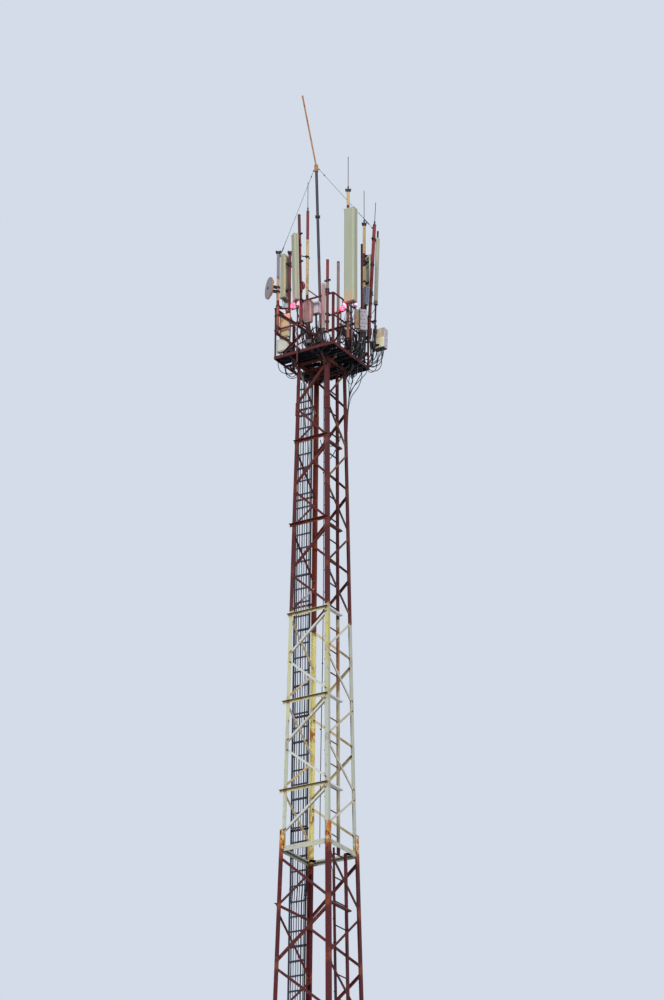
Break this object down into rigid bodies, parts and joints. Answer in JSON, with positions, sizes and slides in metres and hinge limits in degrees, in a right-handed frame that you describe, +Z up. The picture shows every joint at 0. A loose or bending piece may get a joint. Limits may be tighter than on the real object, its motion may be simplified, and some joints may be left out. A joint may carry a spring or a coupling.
{
  "type": "cell tower",
  "caption": "Square lattice cell tower with a head platform, guard cage, panel antennas, dish, radio units, mast, ladder and cable racks.",
  "frame": {"origin": "on the tower's axis, on the underside of the anchor frame", "axes": "+Z up the tower's axis; -Y is the front side, the left of the two sides that face the camera; +X is the right side; the ladder stands on the -X side, by the back corner"},
  "size_m": [2.5592, 2.3, 36.6583],
  "materials": {
    "galvanised_steel": "dull galvanised",
    "tower_paint": "weathered paint with rust, red and off-white bands",
    "rusty_paint": "dull red paint, rusty",
    "dark_steel": "dull dark paint",
    "cable_sheath": "matte black",
    "rusty_tube": "rusty",
    "stay_wire": "dull",
    "pipe_paint": "weathered",
    "clamp_steel": "dull",
    "antenna_shell": "weathered",
    "radio_housing": "satin",
    "radome": "satin",
    "red_shell": "satin",
    "red_glass": "clear red",
    "lamp_housing": "satin white",
    "whip_shell": "satin"
  },
  "bodies": {
    "root": {"anchor_frame": "galvanised_steel", "foot_plates": "tower_paint", "lower_leg_0": "tower_paint", "lower_leg_1": "tower_paint", "lower_leg_2": "tower_paint", "lower_leg_3": "tower_paint", "upper_leg_0": "tower_paint", "upper_leg_1": "tower_paint", "upper_leg_2": "tower_paint", "upper_leg_3": "tower_paint", "lower_lacing_front": "tower_paint", "lower_lacing_right": "tower_paint", "lower_lacing_back": "tower_paint", "lower_lacing_left": "tower_paint", "upper_lacing_front": "tower_paint", "upper_lacing_right": "tower_paint", "upper_lacing_back": "tower_paint", "upper_lacing_left": "tower_paint", "cross_bars": "tower_paint", "joint_frame": "tower_paint", "lap_packers": "rusty_paint", "leg_covers": "rusty_paint", "ladder_lower": "dark_steel", "ladder_upper": "dark_steel", "ladder_ties": "rusty_paint", "cable_rack": "tower_paint", "rack_ties": "rusty_paint", "feeder_cables": "cable_sheath", "riser_cable": "cable_sheath", "top_frame": "rusty_paint", "platform_bearers": "dark_steel", "platform_edge": "rusty_paint", "deck_planks": "dark_steel", "cage_posts": "rusty_paint", "cage_rails": "rusty_paint", "cage_braces": "rusty_paint", "mast": "dark_steel", "mast_tip": "rusty_tube", "mast_stays": "stay_wire", "antenna_pipes": "pipe_paint", "pipe_clamps": "clamp_steel", "equipment_poles": "pipe_paint", "big_antenna": "antenna_shell", "panel_antennas": "antenna_shell", "antenna_brackets": "clamp_steel", "radio_units": "radio_housing", "radio_brackets": "clamp_steel", "dish": "radome", "dish_mount": "clamp_steel", "drum_radio": "red_shell", "lamp_brackets": "clamp_steel", "warning_lamps": "red_glass", "lamp_cylinders": "lamp_housing", "whip_antennas": "whip_shell", "jumper_cables": "cable_sheath"}
  },
  "joints": []
}
